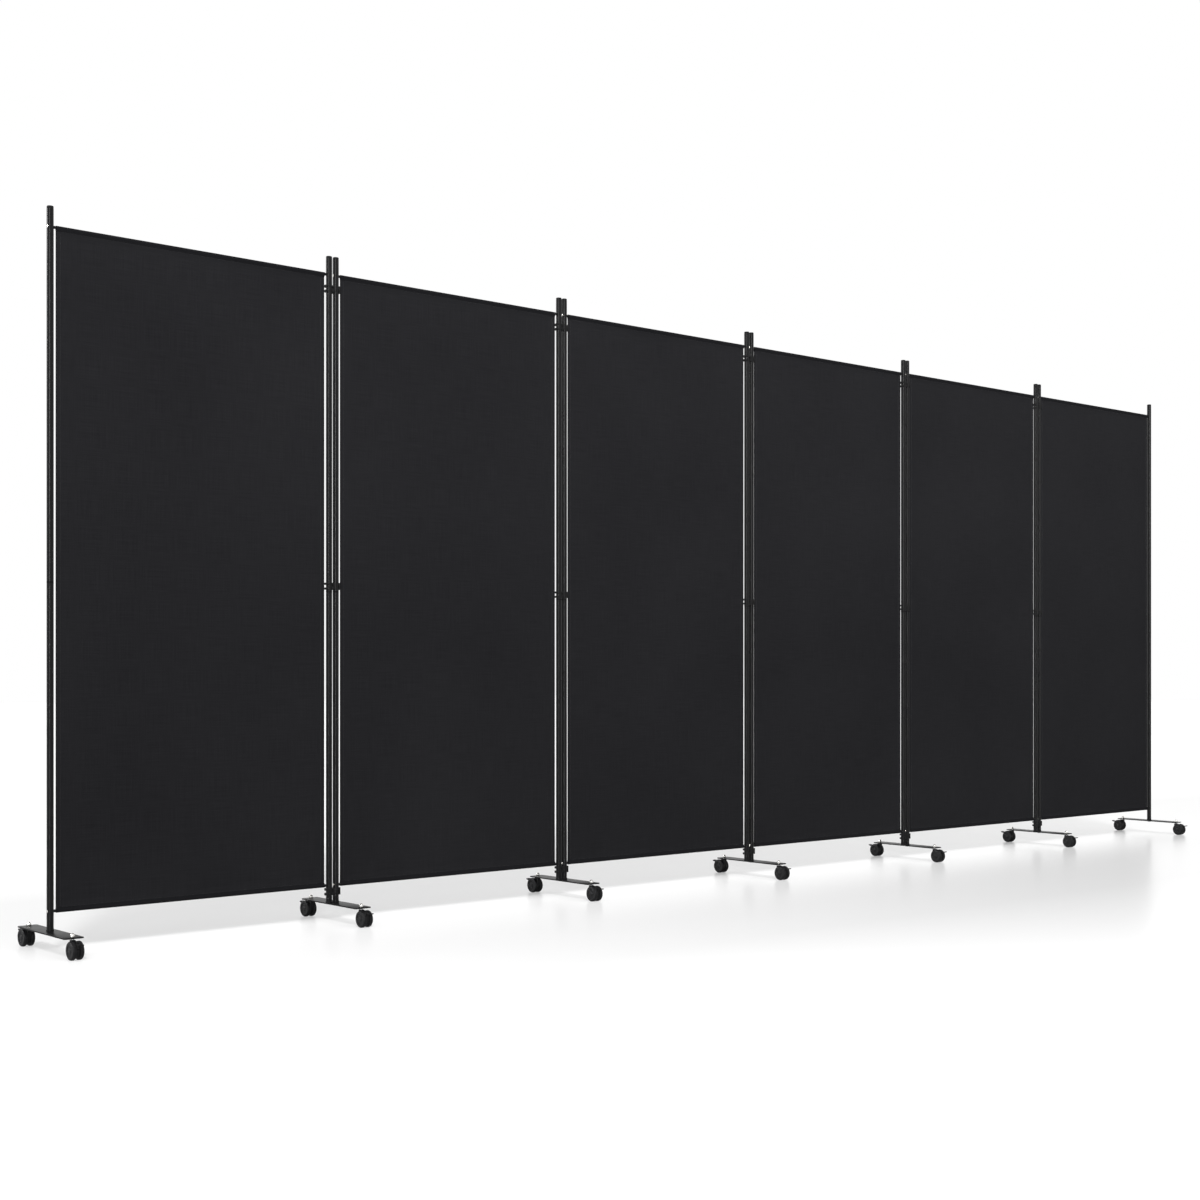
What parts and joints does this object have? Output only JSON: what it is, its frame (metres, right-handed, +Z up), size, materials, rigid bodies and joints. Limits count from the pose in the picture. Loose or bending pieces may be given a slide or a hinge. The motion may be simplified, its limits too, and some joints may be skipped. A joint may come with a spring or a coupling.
{
  "type": "folding room divider",
  "caption": "Folding screen of dark cloth panels stretched between slim black poles that are clipped in pairs on narrow foot plates, each with two braked swivel casters.",
  "frame": {"origin": "on the floor, in the middle of the screen's length and of its feet's depth", "axes": "+X along the screen to the viewer's right, +Y away from the viewer, to the side with the clips' backs, +Z up"},
  "size_m": [4.6676, 0.335, 1.727],
  "materials": {
    "pole_steel": "satin black powder coat on steel tube",
    "cloth": "fine plain weave polyester, matt charcoal black",
    "plate_steel": "semi-gloss black coat on flat steel",
    "caster_plastic": "moulded black nylon, slightly grained",
    "wheel_plastic": "moulded black nylon wheel, smooth tread"
  },
  "bodies": {
    "foot_1": {"foot_plate_1": "plate_steel"},
    "foot_2": {"foot_plate_2": "plate_steel"},
    "foot_3": {"foot_plate_3": "plate_steel"},
    "foot_4": {"foot_plate_4": "plate_steel"},
    "foot_5": {"foot_plate_5": "plate_steel"},
    "foot_6": {"foot_plate_6": "plate_steel"},
    "foot_7": {"foot_plate_7": "plate_steel"},
    "panel_1": {"frame_1": "pole_steel", "cloth_1": "cloth"},
    "panel_2": {"frame_2": "pole_steel", "cloth_2": "cloth"},
    "panel_3": {"frame_3": "pole_steel", "cloth_3": "cloth"},
    "panel_4": {"frame_4": "pole_steel", "cloth_4": "cloth"},
    "panel_5": {"frame_5": "pole_steel", "cloth_5": "cloth"},
    "panel_6": {"frame_6": "pole_steel", "cloth_6": "cloth"},
    "swivel_1_front": {"caster_1_front": "caster_plastic"},
    "wheel_pair_1_front": {"wheels_1_front": "wheel_plastic"},
    "lever_1_front": {"brake_lever_1_front": "caster_plastic"},
    "swivel_1_back": {"caster_1_back": "caster_plastic"},
    "wheel_pair_1_back": {"wheels_1_back": "wheel_plastic"},
    "swivel_2_front": {"caster_2_front": "caster_plastic"},
    "wheel_pair_2_front": {"wheels_2_front": "wheel_plastic"},
    "lever_2_front": {"brake_lever_2_front": "caster_plastic"},
    "swivel_2_back": {"caster_2_back": "caster_plastic"},
    "wheel_pair_2_back": {"wheels_2_back": "wheel_plastic"},
    "lever_2_back": {"brake_lever_2_back": "caster_plastic"},
    "swivel_3_front": {"caster_3_front": "caster_plastic"},
    "wheel_pair_3_front": {"wheels_3_front": "wheel_plastic"},
    "lever_3_front": {"brake_lever_3_front": "caster_plastic"},
    "swivel_3_back": {"caster_3_back": "caster_plastic"},
    "wheel_pair_3_back": {"wheels_3_back": "wheel_plastic"},
    "lever_3_back": {"brake_lever_3_back": "caster_plastic"},
    "swivel_4_front": {"caster_4_front": "caster_plastic"},
    "wheel_pair_4_front": {"wheels_4_front": "wheel_plastic"},
    "lever_4_front": {"brake_lever_4_front": "caster_plastic"},
    "swivel_4_back": {"caster_4_back": "caster_plastic"},
    "wheel_pair_4_back": {"wheels_4_back": "wheel_plastic"},
    "lever_4_back": {"brake_lever_4_back": "caster_plastic"},
    "swivel_5_front": {"caster_5_front": "caster_plastic"},
    "wheel_pair_5_front": {"wheels_5_front": "wheel_plastic"},
    "lever_5_front": {"brake_lever_5_front": "caster_plastic"},
    "swivel_5_back": {"caster_5_back": "caster_plastic"},
    "wheel_pair_5_back": {"wheels_5_back": "wheel_plastic"},
    "lever_5_back": {"brake_lever_5_back": "caster_plastic"},
    "swivel_6_front": {"caster_6_front": "caster_plastic"},
    "wheel_pair_6_front": {"wheels_6_front": "wheel_plastic"},
    "lever_6_front": {"brake_lever_6_front": "caster_plastic"},
    "swivel_6_back": {"caster_6_back": "caster_plastic"},
    "wheel_pair_6_back": {"wheels_6_back": "wheel_plastic"},
    "lever_6_back": {"brake_lever_6_back": "caster_plastic"},
    "swivel_7_front": {"caster_7_front": "caster_plastic"},
    "wheel_pair_7_front": {"wheels_7_front": "wheel_plastic"},
    "lever_7_front": {"brake_lever_7_front": "caster_plastic"},
    "swivel_7_back": {"caster_7_back": "caster_plastic"},
    "wheel_pair_7_back": {"wheels_7_back": "wheel_plastic"},
    "lever_7_back": {"brake_lever_7_back": "caster_plastic"}
  },
  "joints": [
    {"name": "foot_4_to_panel_4", "type": "hinge", "parent": "foot_4", "child": "panel_4", "pos_m": [0.01015, 0, 0.887], "axis": [0, 0, 1], "range_deg": [-88, 88]},
    {"name": "panel_4_to_foot_5", "type": "hinge", "parent": "panel_4", "child": "foot_5", "pos_m": [0.76315, 0, 0.887], "axis": [0, 0, -1], "range_deg": [-88, 88]},
    {"name": "foot_5_to_panel_5", "type": "hinge", "parent": "foot_5", "child": "panel_5", "pos_m": [0.78345, 0, 0.887], "axis": [0, 0, -1], "range_deg": [-88, 88]},
    {"name": "panel_5_to_foot_6", "type": "hinge", "parent": "panel_5", "child": "foot_6", "pos_m": [1.53645, 0, 0.887], "axis": [0, 0, 1], "range_deg": [-88, 88]},
    {"name": "foot_6_to_panel_6", "type": "hinge", "parent": "foot_6", "child": "panel_6", "pos_m": [1.55675, 0, 0.887], "axis": [0, 0, 1], "range_deg": [-88, 88]},
    {"name": "panel_6_to_foot_7", "type": "hinge", "parent": "panel_6", "child": "foot_7", "pos_m": [2.30975, 0, 0.887], "axis": [0, 0, -1], "range_deg": [-88, 88]},
    {"name": "foot_4_to_panel_3", "type": "hinge", "parent": "foot_4", "child": "panel_3", "pos_m": [-0.01015, 0, 0.887], "axis": [0, 0, -1], "range_deg": [-88, 88]},
    {"name": "panel_3_to_foot_3", "type": "hinge", "parent": "panel_3", "child": "foot_3", "pos_m": [-0.76315, 0, 0.887], "axis": [0, 0, 1], "range_deg": [-88, 88]},
    {"name": "foot_3_to_panel_2", "type": "hinge", "parent": "foot_3", "child": "panel_2", "pos_m": [-0.78345, 0, 0.887], "axis": [0, 0, 1], "range_deg": [-88, 88]},
    {"name": "panel_2_to_foot_2", "type": "hinge", "parent": "panel_2", "child": "foot_2", "pos_m": [-1.53645, 0, 0.887], "axis": [0, 0, -1], "range_deg": [-88, 88]},
    {"name": "foot_2_to_panel_1", "type": "hinge", "parent": "foot_2", "child": "panel_1", "pos_m": [-1.55675, 0, 0.887], "axis": [0, 0, -1], "range_deg": [-88, 88]},
    {"name": "panel_1_to_foot_1", "type": "hinge", "parent": "panel_1", "child": "foot_1", "pos_m": [-2.30975, 0, 0.887], "axis": [0, 0, 1], "range_deg": [-88, 88]},
    {"name": "swivel_turn_1_front", "type": "hinge", "parent": "foot_1", "child": "swivel_1_front", "pos_m": [-2.30975, -0.1205, 0.04395], "axis": [0, 0, 1], "continuous": true},
    {"name": "wheel_spin_1_front", "type": "hinge", "parent": "swivel_1_front", "child": "wheel_pair_1_front", "pos_m": [-2.30975, -0.1343, 0.0215], "axis": [1, 0, 0], "continuous": true},
    {"name": "lever_press_1_front", "type": "hinge", "parent": "swivel_1_front", "child": "lever_1_front", "pos_m": [-2.30975, -0.1385, 0.033], "axis": [1, 0, 0], "range_deg": [0, 15]},
    {"name": "swivel_turn_1_back", "type": "hinge", "parent": "foot_1", "child": "swivel_1_back", "pos_m": [-2.30975, 0.1205, 0.04395], "axis": [0, 0, 1], "continuous": true},
    {"name": "wheel_spin_1_back", "type": "hinge", "parent": "swivel_1_back", "child": "wheel_pair_1_back", "pos_m": [-2.30975, 0.1343, 0.0215], "axis": [1, 0, 0], "continuous": true},
    {"name": "swivel_turn_2_front", "type": "hinge", "parent": "foot_2", "child": "swivel_2_front", "pos_m": [-1.53645, -0.1205, 0.04395], "axis": [0, 0, 1], "continuous": true},
    {"name": "wheel_spin_2_front", "type": "hinge", "parent": "swivel_2_front", "child": "wheel_pair_2_front", "pos_m": [-1.53645, -0.1343, 0.0215], "axis": [1, 0, 0], "continuous": true},
    {"name": "lever_press_2_front", "type": "hinge", "parent": "swivel_2_front", "child": "lever_2_front", "pos_m": [-1.53645, -0.1385, 0.033], "axis": [1, 0, 0], "range_deg": [0, 15]},
    {"name": "swivel_turn_2_back", "type": "hinge", "parent": "foot_2", "child": "swivel_2_back", "pos_m": [-1.53645, 0.1205, 0.04395], "axis": [0, 0, 1], "continuous": true},
    {"name": "wheel_spin_2_back", "type": "hinge", "parent": "swivel_2_back", "child": "wheel_pair_2_back", "pos_m": [-1.53645, 0.1343, 0.0215], "axis": [1, 0, 0], "continuous": true},
    {"name": "lever_press_2_back", "type": "hinge", "parent": "swivel_2_back", "child": "lever_2_back", "pos_m": [-1.53645, 0.1385, 0.033], "axis": [-1, 0, 0], "range_deg": [0, 15]},
    {"name": "swivel_turn_3_front", "type": "hinge", "parent": "foot_3", "child": "swivel_3_front", "pos_m": [-0.76315, -0.1205, 0.04395], "axis": [0, 0, 1], "continuous": true},
    {"name": "wheel_spin_3_front", "type": "hinge", "parent": "swivel_3_front", "child": "wheel_pair_3_front", "pos_m": [-0.76315, -0.1343, 0.0215], "axis": [1, 0, 0], "continuous": true},
    {"name": "lever_press_3_front", "type": "hinge", "parent": "swivel_3_front", "child": "lever_3_front", "pos_m": [-0.76315, -0.1385, 0.033], "axis": [1, 0, 0], "range_deg": [0, 15]},
    {"name": "swivel_turn_3_back", "type": "hinge", "parent": "foot_3", "child": "swivel_3_back", "pos_m": [-0.76315, 0.1205, 0.04395], "axis": [0, 0, 1], "continuous": true},
    {"name": "wheel_spin_3_back", "type": "hinge", "parent": "swivel_3_back", "child": "wheel_pair_3_back", "pos_m": [-0.76315, 0.1343, 0.0215], "axis": [1, 0, 0], "continuous": true},
    {"name": "lever_press_3_back", "type": "hinge", "parent": "swivel_3_back", "child": "lever_3_back", "pos_m": [-0.76315, 0.1385, 0.033], "axis": [-1, 0, 0], "range_deg": [0, 15]},
    {"name": "swivel_turn_4_front", "type": "hinge", "parent": "foot_4", "child": "swivel_4_front", "pos_m": [0.01015, -0.1205, 0.04395], "axis": [0, 0, 1], "continuous": true},
    {"name": "wheel_spin_4_front", "type": "hinge", "parent": "swivel_4_front", "child": "wheel_pair_4_front", "pos_m": [0.01015, -0.1343, 0.0215], "axis": [1, 0, 0], "continuous": true},
    {"name": "lever_press_4_front", "type": "hinge", "parent": "swivel_4_front", "child": "lever_4_front", "pos_m": [0.01015, -0.1385, 0.033], "axis": [1, 0, 0], "range_deg": [0, 15]},
    {"name": "swivel_turn_4_back", "type": "hinge", "parent": "foot_4", "child": "swivel_4_back", "pos_m": [0.01015, 0.1205, 0.04395], "axis": [0, 0, 1], "continuous": true},
    {"name": "wheel_spin_4_back", "type": "hinge", "parent": "swivel_4_back", "child": "wheel_pair_4_back", "pos_m": [0.01015, 0.1343, 0.0215], "axis": [1, 0, 0], "continuous": true},
    {"name": "lever_press_4_back", "type": "hinge", "parent": "swivel_4_back", "child": "lever_4_back", "pos_m": [0.01015, 0.1385, 0.033], "axis": [-1, 0, 0], "range_deg": [0, 15]},
    {"name": "swivel_turn_5_front", "type": "hinge", "parent": "foot_5", "child": "swivel_5_front", "pos_m": [0.78345, -0.1205, 0.04395], "axis": [0, 0, 1], "continuous": true},
    {"name": "wheel_spin_5_front", "type": "hinge", "parent": "swivel_5_front", "child": "wheel_pair_5_front", "pos_m": [0.78345, -0.1343, 0.0215], "axis": [1, 0, 0], "continuous": true},
    {"name": "lever_press_5_front", "type": "hinge", "parent": "swivel_5_front", "child": "lever_5_front", "pos_m": [0.78345, -0.1385, 0.033], "axis": [1, 0, 0], "range_deg": [0, 15]},
    {"name": "swivel_turn_5_back", "type": "hinge", "parent": "foot_5", "child": "swivel_5_back", "pos_m": [0.78345, 0.1205, 0.04395], "axis": [0, 0, 1], "continuous": true},
    {"name": "wheel_spin_5_back", "type": "hinge", "parent": "swivel_5_back", "child": "wheel_pair_5_back", "pos_m": [0.78345, 0.1343, 0.0215], "axis": [1, 0, 0], "continuous": true},
    {"name": "lever_press_5_back", "type": "hinge", "parent": "swivel_5_back", "child": "lever_5_back", "pos_m": [0.78345, 0.1385, 0.033], "axis": [-1, 0, 0], "range_deg": [0, 15]},
    {"name": "swivel_turn_6_front", "type": "hinge", "parent": "foot_6", "child": "swivel_6_front", "pos_m": [1.55675, -0.1205, 0.04395], "axis": [0, 0, 1], "continuous": true},
    {"name": "wheel_spin_6_front", "type": "hinge", "parent": "swivel_6_front", "child": "wheel_pair_6_front", "pos_m": [1.55675, -0.1343, 0.0215], "axis": [1, 0, 0], "continuous": true},
    {"name": "lever_press_6_front", "type": "hinge", "parent": "swivel_6_front", "child": "lever_6_front", "pos_m": [1.55675, -0.1385, 0.033], "axis": [1, 0, 0], "range_deg": [0, 15]},
    {"name": "swivel_turn_6_back", "type": "hinge", "parent": "foot_6", "child": "swivel_6_back", "pos_m": [1.55675, 0.1205, 0.04395], "axis": [0, 0, 1], "continuous": true},
    {"name": "wheel_spin_6_back", "type": "hinge", "parent": "swivel_6_back", "child": "wheel_pair_6_back", "pos_m": [1.55675, 0.1343, 0.0215], "axis": [1, 0, 0], "continuous": true},
    {"name": "lever_press_6_back", "type": "hinge", "parent": "swivel_6_back", "child": "lever_6_back", "pos_m": [1.55675, 0.1385, 0.033], "axis": [-1, 0, 0], "range_deg": [0, 15]},
    {"name": "swivel_turn_7_front", "type": "hinge", "parent": "foot_7", "child": "swivel_7_front", "pos_m": [2.30975, -0.1205, 0.04395], "axis": [0, 0, 1], "continuous": true},
    {"name": "wheel_spin_7_front", "type": "hinge", "parent": "swivel_7_front", "child": "wheel_pair_7_front", "pos_m": [2.30975, -0.1343, 0.0215], "axis": [1, 0, 0], "continuous": true},
    {"name": "lever_press_7_front", "type": "hinge", "parent": "swivel_7_front", "child": "lever_7_front", "pos_m": [2.30975, -0.1385, 0.033], "axis": [1, 0, 0], "range_deg": [0, 15]},
    {"name": "swivel_turn_7_back", "type": "hinge", "parent": "foot_7", "child": "swivel_7_back", "pos_m": [2.30975, 0.1205, 0.04395], "axis": [0, 0, 1], "continuous": true},
    {"name": "wheel_spin_7_back", "type": "hinge", "parent": "swivel_7_back", "child": "wheel_pair_7_back", "pos_m": [2.30975, 0.1343, 0.0215], "axis": [1, 0, 0], "continuous": true},
    {"name": "lever_press_7_back", "type": "hinge", "parent": "swivel_7_back", "child": "lever_7_back", "pos_m": [2.30975, 0.1385, 0.033], "axis": [-1, 0, 0], "range_deg": [0, 15]}
  ]
}
